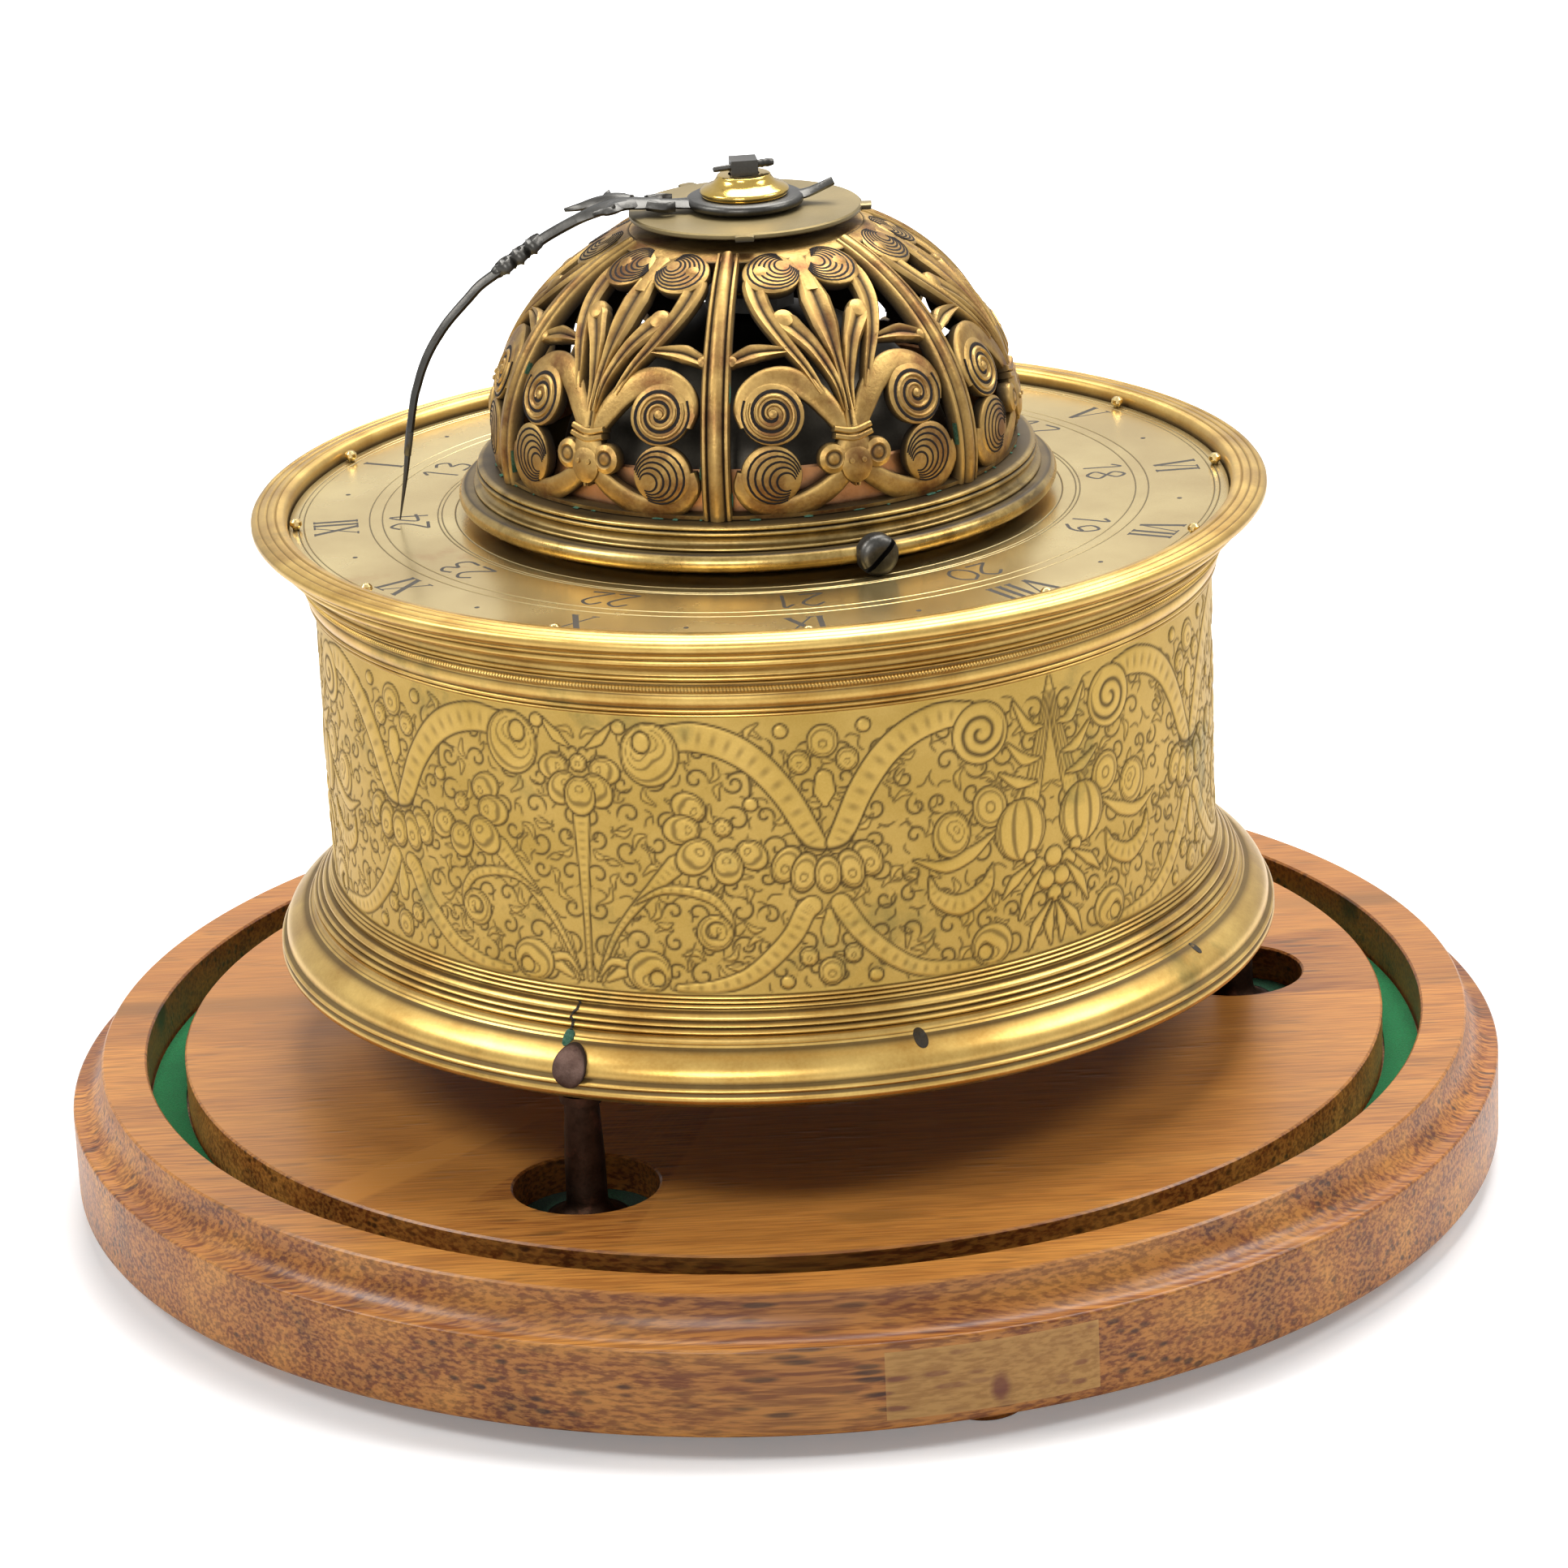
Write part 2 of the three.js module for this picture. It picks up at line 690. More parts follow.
piece('dome_screw_front', domeScrew(domeScrewAngles[0]), 'iron');
piece('dome_screw_rear', domeScrew(domeScrewAngles[1]), 'iron');

// Pierced dome. A place on it is an angle round the axis and a latitude, both in degrees,
// where latitude 0 is the widest circle.

function domePoint(azimuth, latitude, inset) {
  const flat = (domeRadius - inset) * Math.cos(latitude * degrees);
  return new THREE.Vector3(
    flat * Math.cos(azimuth * degrees),
    flat * Math.sin(azimuth * degrees),
    domeCentre + (domeHalfHeight - inset) * Math.sin(latitude * degrees),
  );
}

// Degrees of azimuth and of latitude that one millimetre covers at a latitude.
function degreesPerMillimetre(latitude) {
  const sine = Math.sin(latitude * degrees);
  const cosine = Math.cos(latitude * degrees);
  const along = Math.hypot(domeRadius * sine, domeHalfHeight * cosine);
  return { azimuth: 1 / (domeRadius * cosine * degrees), latitude: 1 / (along * degrees) };
}

// Pieces of a dome panel are drawn flat first, with azimuth along X and latitude along Y, joined
// there, and then bent over the dome.
function flatPlate([azimuth, latitude], radius) {
  const scale = degreesPerMillimetre(latitude);
  return raised(new THREE.Shape(Array.from({ length: plateSides }, (_, i) => {
    const turn = ((360 * i) / plateSides) * degrees;
    return new THREE.Vector2(azimuth + radius * scale.azimuth * Math.cos(turn),
      latitude + radius * scale.latitude * Math.sin(turn));
  })), 0, 1);
}

// A strap of one width in millimetres along points of [azimuth, latitude].
function flatStrap(route, width) {
  const left = [];
  const right = [];
  route.forEach(([azimuth, latitude], i) => {
    const scale = degreesPerMillimetre(latitude);
    const before = route[Math.max(i - 1, 0)];
    const after = route[Math.min(i + 1, route.length - 1)];
    const runX = (after[0] - before[0]) / scale.azimuth;
    const runY = (after[1] - before[1]) / scale.latitude;
    const run = Math.hypot(runX, runY);
    const stepX = ((runY / run) * width * scale.azimuth) / 2;
    const stepY = ((runX / run) * width * scale.latitude) / 2;
    left.push(new THREE.Vector2(azimuth - stepX, latitude + stepY));
    right.push(new THREE.Vector2(azimuth + stepX, latitude - stepY));
  });
  return raised(new THREE.Shape([...right, ...left.reverse()]), 0, 1);
}

// Bends the top face of a flat solid over the dome, once for each turn round the axis, and gives
// it the wall's thickness. Copies that meet along an edge are joined there.
function bent(flat, turns) {
  const places = flat.getAttribute('position');
  const faces = flat.getIndex().array;
  const spots = [];
  const known = new Map();
  function spotOf(corner, turnDeg) {
    const azimuth = (places.getX(corner) + turnDeg + 360) % 360;
    const latitude = places.getY(corner);
    const key = `${azimuth.toFixed(2)} ${latitude.toFixed(2)}`;
    if (!known.has(key)) {
      known.set(key, spots.length);
      spots.push([azimuth, latitude]);
    }
    return known.get(key);
  }
  const top = [];
  for (const turn of turns) {
    for (let i = 0; i < faces.length; i += 3) {
      const face = [faces[i], faces[i + 1], faces[i + 2]];
      if (!face.every((corner) => places.getZ(corner) > 0.5)) continue;
      const [a, b, c] = face.map((corner) => spotOf(corner, turn));
      if (a !== b && b !== c && c !== a) top.push([a, b, c]);
    }
  }
  const count = spots.length;
  const points = [0, domeWall].flatMap((inset) => (
    spots.flatMap(([azimuth, latitude]) => domePoint(azimuth, latitude, inset).toArray())
  ));
  const edges = new Map();
  const corners = [];
  for (const [a, b, c] of top) {
    corners.push(a, b, c, count + a, count + c, count + b);
    for (const [from, to] of [[a, b], [b, c], [c, a]]) {
      if (!edges.delete(`${to} ${from}`)) edges.set(`${from} ${to}`, [from, to]);
    }
  }
  for (const [from, to] of edges.values()) {
    corners.push(from, count + from, to, to, count + from, count + to);
  }
  const geometry = new THREE.BufferGeometry();
  geometry.setAttribute('position', new THREE.Float32BufferAttribute(points, 3));
  geometry.setIndex(corners);
  return geometry;
}

// Routes of the straps, in degrees from the middle of a panel; both halves mirror each other.
const upperArmShares = [[0, 13], [14, 28], [27, 20]];
const sideLeafShares = [[1, 18], [11.5, 43], [13, 54]];
const middleLeafShares = [[0, 10], [0, 60]];
const voluteShares = [17.5, 18.8];
const fanShares = [21.5, 3.0];
const shellShares = [12.5, 56.5];
const knotShares = [0, 6.5];
const mirrored = (route, side) => route.map(([azimuth, latitude]) => [side * azimuth, latitude]);

const panelParts = [flatPlate(knotShares, knotPlate), flatStrap(middleLeafShares, leafWidth)];
for (const side of [-1, 1]) {
  panelParts.push(...mirrored([voluteShares], side).map((place) => flatPlate(place, volutePlate)));
  panelParts.push(...mirrored([fanShares], side).map((place) => flatPlate(place, fanPlate)));
  panelParts.push(...mirrored([shellShares], side).map((place) => flatPlate(place, shellPlate)));
  panelParts.push(flatStrap(mirrored(upperArmShares, side), scrollWidth));
  panelParts.push(flatStrap(mirrored(sideLeafShares, side), leafWidth));
}

// A band along the base and the top of the panel, and half a rib on each side. Their straight
// edges waver a little, so that they keep their points and follow the dome.
const baseLatitude = Math.asin((domeRingTop + seatGap - domeCentre) / domeHalfHeight) / degrees;
const topLatitude = Math.asin((domeTopCut - domeCentre) / domeHalfHeight) / degrees;
const panelHalf = 180 / ribCount;
const edgeSteps = 4;
const edgeWaver = 0.2;
const bandHalf = panelHalf - 5 * edgeWaver;
for (const latitude of [baseLatitude, topLatitude - domeBandShare]) {
  const across = Array.from({ length: edgeSteps + 1 }, (_, i) => bandHalf * ((2 * i) / edgeSteps - 1));
  const lower = across.map((azimuth, i) => new THREE.Vector2(azimuth, latitude + (i % 2) * edgeWaver));
  const upper = lower.map((point) => new THREE.Vector2(point.x, point.y + domeBandShare));
  panelParts.push(raised(new THREE.Shape([...lower, ...upper.reverse()]), 0, 1));
}
const ribLatitudes = Array.from({ length: edgeSteps + 1 }, (_, i) => (
  baseLatitude + ((topLatitude - baseLatitude) * i) / edgeSteps
));
for (const side of [-1, 1]) {
  const seam = ribLatitudes.map((latitude, i) => new THREE.Vector2(
    side * panelHalf + (i % 2) * edgeWaver, latitude,
  ));
  const edge = ribLatitudes.map((latitude) => new THREE.Vector2(
    side * (panelHalf - (ribWidth / 2) * degreesPerMillimetre(latitude).azimuth), latitude,
  ));
  panelParts.push(raised(new THREE.Shape([...seam, ...edge.reverse()]), 0, 1));
}
const panel = closed(unite(panelParts));


const panelTurns = Array.from({ length: ribCount }, (_, i) => ribAngle + (2 * i + 1) * panelHalf);
const domeCrown = turned([
  [boreRadius(handArborRadius), domeTopCut - domeTopThickness],
  [domeTopRadius - 4 * seatGap, domeTopCut - domeTopThickness],
  [domeTopRadius - 4 * seatGap, domeTopCut - seatGap],
  [domeBossRadius, domeTopCut - seatGap],
  [domeBossRadius, bossTop],
  [boreRadius(handArborRadius), bossTop],
], 2 * ribCount).rotateZ(ribAngle * degrees);
piece('dome_shell', unite([domeCrown, bent(panel, panelTurns)]), 'domeGilt');

// Disc over the dome, with three small tabs

const tabAngles = [-91, -3, 118];
const tabs = tabAngles.map((angle) => block(2 * topDiscTab, topDiscTabWidth, topDiscBottom, topDiscTop)
  .translate(topDiscRadius, 0, 0).rotateZ(angle * degrees));
const topDisc = ring(boreRadius(handArborRadius, smallSides), topDiscRadius, topDiscBottom, topDiscTop);
piece('top_disc', unite([topDisc, ...tabs]), 'dullBrass');

// Bell, its stand and nut

const bellRim = dialTop + bellLift;
const bellSeat = bellRim + bellHeight - bellWall;
const bellOuter = arc(0, bellRim, bellRadius, bellHeight, 0, bellCrownDeg, 4);
const bellInner = arc(0, bellRim, bellRadius - bellWall, bellHeight - bellWall, bellCrownDeg,
  0, 4);
const bellBore = boreRadius(bellNeckRadius, smallSides);
piece('bell', turned([
  ...bellOuter,
  [bellBore, bellRim + bellHeight],
  [bellBore, bellSeat],
  ...bellInner,
], middleSides), 'bellMetal');
const standShoulder = bellSeat - runningGap;
const standBore = boreRadius(handArborRadius, smallSides);
piece('bell_stand', turned([
  [standBore, dialTop + seatGap],
  [bellStandFlange, dialTop + seatGap],
  [bellStandFlange, dialTop + bellStandFlangeThickness],
  [bellStandRadius, dialTop + bellStandFlangeThickness],
  [bellStandRadius, standShoulder],
  [bellNeckRadius, standShoulder],
  [bellNeckRadius, standShoulder + bellNeckLength],
  [standBore, standShoulder + bellNeckLength],
], smallSides), 'movementBrass');
const nutBottom = bellRim + bellHeight + seatGap;
piece('bell_nut', ring(bellBore, bellNutRadius, nutBottom, nutBottom + bellNutHeight, smallSides), 'iron');

// Hand arbor, hand, collet and taper pin

const pinHeight = (colletTop + handArborTop) / 2;
const arborPivotBottom = topPlateBottom;
const handArborBody = unite([
  turned([
    [0, arborPivotBottom],
    [handPivotRadius, arborPivotBottom],
    [handPivotRadius, topPlateTop + runningGap],
    [handArborRadius, topPlateTop + runningGap],
    [handArborRadius, handBottom - runningGap],
    [0, handBottom - runningGap],
  ], smallSides),
  block(handSquare, handSquare, handBottom - cutOverrun, handArborTop).rotateZ(handAngle * degrees),
]);
const pinAcross = cylinder(taperPinRadius + runningGap, -taperPinLength, taperPinLength, tinySides)
  .rotateY(90 * degrees).rotateZ(taperPinAngle * degrees).translate(0, 0, pinHeight);
piece('hand_arbor', cut(handArborBody, [pinAcross]), 'iron');
piece('taper_pin', turned([
  [0, -taperPinLength / 2],
  [taperPinRadius * 0.75, -taperPinLength / 2],
  [taperPinRadius, taperPinLength / 2],
  [0, taperPinLength / 2],
], tinySides).rotateY(90 * degrees).rotateZ(taperPinAngle * degrees).translate(0, 0, pinHeight), 'iron');

const squareClear = boreRadius(handSquare / Math.SQRT2, smallSides);
piece('collet', turned([
  [squareClear, colletBottom],
  [colletRadius, colletBottom],
  [colletRadius, colletBottom + colletHeight / 5],
  [(colletRadius + colletTopRadius) / 2, colletBottom + colletHeight / 2],
  [colletTopRadius, colletTop - colletHeight / 6],
  [colletTopRadius - seatGap, colletTop],
  [squareClear, colletTop],
], smallSides), 'polishedBrass');

// The hand lies along +X here and is turned to its hour at the end. Its centre line is a list of
// [share of the reach, share of the drop, share of the blade's width].
const handLineShares = [
  [0.10, 0.0, 1.0], [0.34, -0.019, 1.0], [0.45, 0.022, 0.9], [0.56, 0.084, 0.9], [0.65, 0.157, 1.0],
  [0.74, 0.23, 1.0], [0.81, 0.32, 0.95], [0.865, 0.41, 0.9], [0.91, 0.515, 0.8], [0.94, 0.615, 0.75],
  [0.965, 0.72, 0.7],
];
const handDrop = handBottom - dialTop - handTipClearance;
const handLine = handLineShares.map(([out, down]) => new THREE.Vector3(
  handReach * out, 0, handTop - handThickness / 2 - handDrop * down,
));

// A strip with a rectangular section carried along a line in the XZ plane.
function strip(line, widths, thickness) {
  const places = [];
  const corners = [];
  line.forEach((point, i) => {
    const before = line[Math.max(i - 1, 0)];
    const after = line[Math.min(i + 1, line.length - 1)];
    const along = after.clone().sub(before).normalize();
    const off = new THREE.Vector3(-along.z, 0, along.x).multiplyScalar(thickness / 2);
    const half = widths[i] / 2;
    for (const [side, lift] of [[-1, -1], [1, -1], [1, 1], [-1, 1]]) {
      places.push(point.x + off.x * lift, half * side, point.z + off.z * lift);
    }
  });
  const last = line.length - 1;
  for (let i = 0; i < last; i += 1) {
    for (let side = 0; side < 4; side += 1) {
      const a = 4 * i + side;
      const b = 4 * i + ((side + 1) % 4);
      corners.push(a, b, a + 4, b, b + 4, a + 4);
    }
  }
  corners.push(0, 2, 1, 0, 3, 2);
  const end = 4 * last;
  corners.push(end, end + 1, end + 2, end, end + 2, end + 3);
  const geometry = new THREE.BufferGeometry();
  geometry.setAttribute('position', new THREE.Float32BufferAttribute(places, 3));
  geometry.setIndex(corners);
  return geometry;
}

const bladeEnd = handLine[handLine.length - 1];
const handPoint = new THREE.Vector3(handReach, 0, dialTop + handTipClearance);
const barbTop = bladeEnd.clone().lerp(handPoint, 0.22);
const wingShape = new THREE.Shape();
wingShape.moveTo(0, handNeckWidth / 2);
wingShape.lineTo(handWingLength * 0.55, handNeckWidth * 0.7);
wingShape.lineTo(handWingLength * 0.75, handWingSpan / 2);
wingShape.lineTo(handWingLength, handWingSpan / 2);
wingShape.lineTo(handWingLength * 0.9, handNeckWidth * 0.5);
wingShape.lineTo(handWingLength * 0.9, -handNeckWidth * 0.5);
wingShape.lineTo(handWingLength, -handWingSpan / 2);
wingShape.lineTo(handWingLength * 0.75, -handWingSpan / 2);
wingShape.lineTo(handWingLength * 0.55, -handNeckWidth * 0.7);
wingShape.lineTo(0, -handNeckWidth / 2);
const wingStart = handReach * handLineShares[1][0];
const wingLift = 2 * seatGap - handDrop * handLineShares[1][1];
const knotCentre = handLine[3].clone().lerp(handLine[4], 0.5);
const knotTurn = Math.atan2(handLine[3].z - handLine[4].z, handLine[4].x - handLine[3].x);
const tail = strip([
  new THREE.Vector3(-handEyeRadius + 2 * seatGap, 0, handTop - handThickness / 2),
  new THREE.Vector3(-handEyeRadius - handTailLength, 0, handTop),
], [handNeckWidth, handTipWidth], handThickness * 0.8);
const bladeWidths = handLineShares.map(([, , share], i) => (i < 2 ? handNeckWidth : handBladeWidth) * share);
const handBody = unite([
  cylinder(handEyeRadius, handBottom, handTop, middleSides),
  strip(handLine, bladeWidths, handThickness),
  strip([bladeEnd, barbTop, handPoint], [handBladeWidth * 0.6, handBarbWidth, handTipWidth],
    handThickness * 0.9),
  raised(wingShape, handBottom + wingLift, handTop + wingLift).translate(wingStart, 0, 0),
  cylinder(handKnotRadius, -handKnotLength / 2, handKnotLength / 2, tinySides)
    .rotateY(90 * degrees + knotTurn).translate(knotCentre.x, 0, knotCentre.z),
  tail,
]);
const eyeBore = cylinder(squareClear, handBottom - cutOverrun, handTop + cutOverrun, smallSides);
piece('hand', cut(handBody, [eyeBore]).rotateZ(handAngle * degrees), 'iron');

// Wheels and pinions

// Outline of a toothed wheel. Each tooth stands on a share of the pitch at its root and is a share
// wide at its tip, or pointed; a phase in degrees points the middle of the first tooth.
function gearShape(module, teeth, phaseDeg, form) {
  const pitch = pitchRadius(module, teeth);
  const root = pitch - module * form.dedendumShare;
  const tip = pitch + module * form.addendumShare;
  const points = [];
  for (let i = 0; i < teeth; i += 1) {
    const middle = phaseDeg + (360 * i) / teeth;
    const rootHalf = (180 / teeth) * form.rootShare;
    const tipHalf = (180 / teeth) * form.tipShare;
    points.push(polar(root, middle - rootHalf), polar(tip, middle - tipHalf));
    if (tipHalf > 0) points.push(polar(tip, middle + tipHalf));
    points.push(polar(root, middle + rootHalf));
  }
  return new THREE.Shape(points.map((p) => new THREE.Vector2(p.x, p.y)));
}
const wheelForm = { addendumShare: 0.85, dedendumShare: 1.2, rootShare: 0.8, tipShare: 0 };
const pinionForm = { addendumShare: 0.7, dedendumShare: 1.2, rootShare: 0.44, tipShare: 0.2 };

// Four openings between the arms of a wheel.
function crossings(hubRadius, rimRadiusInside, armWidth) {
  return Array.from({ length: 4 }, (_, i) => {
    const inner = Math.asin(armWidth / 2 / hubRadius) / degrees;
    const outer = Math.asin(armWidth / 2 / rimRadiusInside) / degrees;
    const start = 90 * i;
    const points = [
      polar(hubRadius, start + inner), polar(hubRadius, start + 90 - inner),
      polar(rimRadiusInside, start + 90 - outer), polar(rimRadiusInside, start + 45),
      polar(rimRadiusInside, start + outer),
    ];
    const path = new THREE.Path();
    path.setFromPoints(points.map((p) => new THREE.Vector2(p.x, p.y)));
    return path;
  });
}

const hubRadiusShare = 0.26;
const rimInsideShare = 0.78;
const armShare = 0.14;

function wheel(module, teeth, phaseDeg, bottom, top, boreSize) {
  const shape = gearShape(module, teeth, phaseDeg, wheelForm);
  const pitch = pitchRadius(module, teeth);
  shape.holes.push(hole(centre, boreSize));
  shape.holes.push(...crossings(pitch * hubRadiusShare, pitch * rimInsideShare, pitch * armShare));
  return raised(shape, bottom, top);
}

function pinion(module, teeth, phaseDeg, bottom, top) {
  return raised(gearShape(module, teeth, phaseDeg, pinionForm), bottom, top);
}

// Phase that puts a gap of the driven gear in front of a tooth of its driver.
function facing(directionDeg, teeth) {
  return directionDeg + 180 + 180 / teeth;
}

// A steel arbor with a pivot in each plate.
const lowerPivot = bottomPlateBottom;
const upperPivot = topPlateTop;
function arbor(radius = arborRadius, lowerEnd = lowerPivot, upperEnd = upperPivot) {
  return turned([
    [0, lowerEnd],
    [pivotRadius, lowerEnd],
    [pivotRadius, bottomPlateTop + runningGap],
    [radius, bottomPlateTop + runningGap],
    [radius, topPlateBottom - runningGap],
    [pivotRadius, topPlateBottom - runningGap],
    [pivotRadius, upperEnd],
    [0, upperEnd],
  ], tinySides);
}
const wheelBore = boreRadius(arborRadius);

// Going train: fusee, great wheel and hour pinion

const windingEnd = bottomPlateBottom - windingReach;
const hourWheelBottom = topPlateTop + 3 * runningGap;
const hourWheelTop = hourWheelBottom + wheelThickness;
const hourDirection = fuseeAngle + 180;
piece('fusee_arbor', at(unite([
  arbor(arborRadius, bottomPlateBottom - runningGap, hourWheelTop + pinionOverlap),
  block(windingSquare, windingSquare, windingEnd, bottomPlateBottom - runningGap),
  pinion(hourModule, hourPinionTeeth, hourDirection, topPlateTop + runningGap, hourWheelTop + pinionOverlap),
]), fuseePlace), 'steel');
piece('great_wheel', at(wheel(greatModule, greatTeeth, secondFromFusee, greatWheelBottom, greatWheelTop,
  wheelBore), fuseePlace), 'movementBrass');

const fuseeBottom = greatWheelTop + seatGap;
const fuseeProfile = [[wheelBore, fuseeBottom], [fuseeBaseRadius, fuseeBottom]];
const fuseeStep = fuseeHeight / fuseeTurns;
for (let i = 0; i < fuseeTurns; i += 1) {
  const share = i / (fuseeTurns - 1);
  const radius = fuseeBaseRadius + (fuseeTopRadius - fuseeBaseRadius) * Math.sqrt(share);
  const height = fuseeBottom + fuseeStep * i;
  fuseeProfile.push([radius, height + fuseeStep * 0.2]);
  fuseeProfile.push([radius - fuseeGrooveDepth, height + fuseeStep * 0.6]);
  fuseeProfile.push([radius, height + fuseeStep]);
}
fuseeProfile.push([wheelBore, fuseeBottom + fuseeHeight]);
piece('fusee_cone', at(turned(fuseeProfile, smallSides), fuseePlace), 'movementBrass');

// Spring barrels

function barrelBody(place, radius) {
  return at(turned([
    [wheelBore, barrelBottom],
    [radius, barrelBottom],
    [radius, barrelTop - barrelEndThickness - seatGap],
    [radius - barrelWall, barrelTop - barrelEndThickness - seatGap],
    [radius - barrelWall, barrelBottom + barrelEndThickness],
    [wheelBore, barrelBottom + barrelEndThickness],
  ], middleSides), place);
}
function barrelCap(place, radius) {
  return at(ring(wheelBore, radius, barrelTop - barrelEndThickness, barrelTop), place);
}
function mainspring(place, radius) {
  return at(ring(springInnerRadius, radius - barrelWall - runningGap,
    barrelBottom + barrelEndThickness + runningGap,
    barrelTop - barrelEndThickness - 2 * runningGap, smallSides + smallSides / 2), place);
}
piece('going_barrel', barrelBody(barrelPlace, barrelRadius), 'movementBrass');
piece('going_barrel_cap', barrelCap(barrelPlace, barrelRadius), 'movementBrass');
piece('going_mainspring', mainspring(barrelPlace, barrelRadius), 'steel');
piece('going_barrel_arbor', at(arbor(), barrelPlace), 'steel');

// Gut line from the barrel to the fusee: an arc on each, joined by their common tangent.
const lineHeight = fuseeBottom + fuseeHeight * 0.35;
const lineOnBarrel = barrelRadius + 2 * runningGap + lineRadius;
const lineOnFusee = fuseeBaseRadius + (fuseeTopRadius - fuseeBaseRadius) * 0.45 + runningGap + 2 * lineRadius;
const lineTilt = Math.asin((lineOnBarrel - lineOnFusee) / barrelDistance) / degrees;
const tangentDirection = barrelFromFusee + 90 + lineTilt - 2 * lineTilt;
const lineSteps = 4;
const linePoints = [];
for (let i = 0; i <= lineSteps; i += 1) {
  const angle = tangentDirection + lineWrapDeg * (1 - i / lineSteps);
  linePoints.push(polar(lineOnFusee, angle, fuseePlace));
}
for (let i = 0; i <= lineSteps; i += 1) {
  const angle = tangentDirection - (lineWrapDeg * i) / lineSteps;
  linePoints.push(polar(lineOnBarrel, angle, barrelPlace));
}
const linePath = new THREE.CurvePath();
linePoints.slice(1).forEach((point, i) => {
  const start = linePoints[i];
  linePath.add(new THREE.LineCurve3(
    new THREE.Vector3(start.x, start.y, lineHeight), new THREE.Vector3(point.x, point.y, lineHeight)));
});
const lineSection = new THREE.Shape(Array.from({ length: 6 }, (_, i) => {
  const p = polar(lineRadius, 60 * i);
  return new THREE.Vector2(p.x, p.y);
}));
piece('gut_line', new THREE.ExtrudeGeometry(lineSection, {
  steps: 14, extrudePath: linePath, bevelEnabled: false,
}), 'gut');

// Second wheel and contrate wheel

piece('second_arbor', at(unite([
  arbor(),
  pinion(greatModule, secondPinionTeeth, facing(secondFromFusee, secondPinionTeeth),
    greatWheelBottom - pinionOverlap, greatWheelTop + pinionOverlap),
]), secondPlace), 'steel');
piece('second_wheel', at(wheel(secondModule, secondTeeth, contrateFromSecond, upperWheelBottom,
  upperWheelTop, wheelBore), secondPlace), 'movementBrass');
piece('contrate_arbor', at(unite([
  arbor(),
  pinion(secondModule, contratePinionTeeth, facing(contrateFromSecond, contratePinionTeeth),
    upperWheelBottom - pinionOverlap, upperWheelTop + pinionOverlap),
]), contratePlace), 'steel');

// A ring with pointed teeth along its axis: round the ring, the top goes root, tip, root for each.
function toothedRing(inner, outer, bottom, rootHeight, tipHeight, teeth, phaseDeg, stepShares) {
  const heights = [rootHeight, tipHeight, rootHeight];
  const places = [];
  for (let i = 0; i < teeth; i += 1) {
    stepShares.forEach((share, k) => {
      const angle = phaseDeg + (360 * (i + share)) / teeth;
      const far = polar(outer, angle);
      const near = polar(inner, angle);
      places.push(far.x, far.y, bottom, far.x, far.y, heights[k]);
      places.push(near.x, near.y, heights[k], near.x, near.y, bottom);
    });
  }
  const corners = [];
  const total = 3 * teeth;
  for (let i = 0; i < total; i += 1) {
    const next = (i + 1) % total;
    for (let side = 0; side < 4; side += 1) {
      const a = 4 * i + side;
      const b = 4 * i + ((side + 1) % 4);
      const c = 4 * next + side;
      const d = 4 * next + ((side + 1) % 4);
      corners.push(a, c, b, b, c, d);
    }
  }
  const geometry = new THREE.BufferGeometry();
  geometry.setAttribute('position', new THREE.Float32BufferAttribute(places, 3));
  geometry.setIndex(corners);
  return geometry;
}

const crownAxisHeight = (bottomPlateTop + topPlateBottom) / 2 - contrateModule;
const crownPinionRadius = pitchRadius(contrateModule, crownPinionTeeth);
const contrateTip = crownAxisHeight + crownPinionRadius - contrateModule * wheelForm.addendumShare;
const contrateRoot = crownAxisHeight + crownPinionRadius + contrateModule * wheelForm.dedendumShare;
const contrateBack = contrateRoot + wheelThickness;
const contrateRim = 2.6;
const contrateTeethShares = [-0.4, 0, 0.4];
const contrateWeb = disc(contrateRadius - contrateRim / 2 + seatGap, middleSides);
contrateWeb.holes.push(hole(centre, wheelBore));
const contrateRing = toothedRing(contrateRadius - contrateRim / 2, contrateRadius + contrateRim / 2,
  -contrateBack, -contrateRoot, -contrateTip, contrateTeeth, -crownFromContrate, contrateTeethShares)
  .rotateX(Math.PI);
piece('contrate_wheel', at(unite([
  contrateRing,
  raised(contrateWeb, contrateRoot + seatGap, contrateBack - seatGap),
]), contratePlace), 'movementBrass');

// Crown wheel on a level arbor that points from the contrate wheel to the verge. It is drawn
// along +Z, then laid down.
function laid(geometry) {
  return at(geometry.rotateY(90 * degrees).rotateZ(crownFromContrate * degrees)
    .translate(0, 0, crownAxisHeight), contratePlace);
}
const crownPinionHalf = 2.2;
const crownArborStart = crownBracketNear - bracketThickness;
const crownPinionEnd = contrateRadius + crownPinionHalf;
piece('crown_arbor', laid(unite([
  cylinder(pivotRadius, crownArborStart, crownOffset + crownWeb, tinySides),
  cylinder(arborRadius, crownBracketNear + bracketThickness / 2 + runningGap,
    crownBracketFar - bracketThickness / 2 - runningGap, tinySides),
  pinion(contrateModule, crownPinionTeeth, 180 + 180 / crownPinionTeeth,
    contrateRadius - crownPinionHalf, crownPinionEnd),
])), 'steel');
const crownWebShape = disc(crownRadius - crownRim + seatGap, smallSides);
crownWebShape.holes.push(hole(centre, boreRadius(pivotRadius)));
const crownToothShares = [0, 0.55, 0.65];
piece('crown_wheel', laid(unite([
  toothedRing(crownRadius - crownRim, crownRadius, crownOffset, crownOffset + crownWeb + seatGap,
    crownOffset + crownWeb + crownTooth, crownTeeth, 0, crownToothShares),
  raised(crownWebShape, crownOffset + seatGap, crownOffset + crownWeb - seatGap),
])), 'movementBrass');

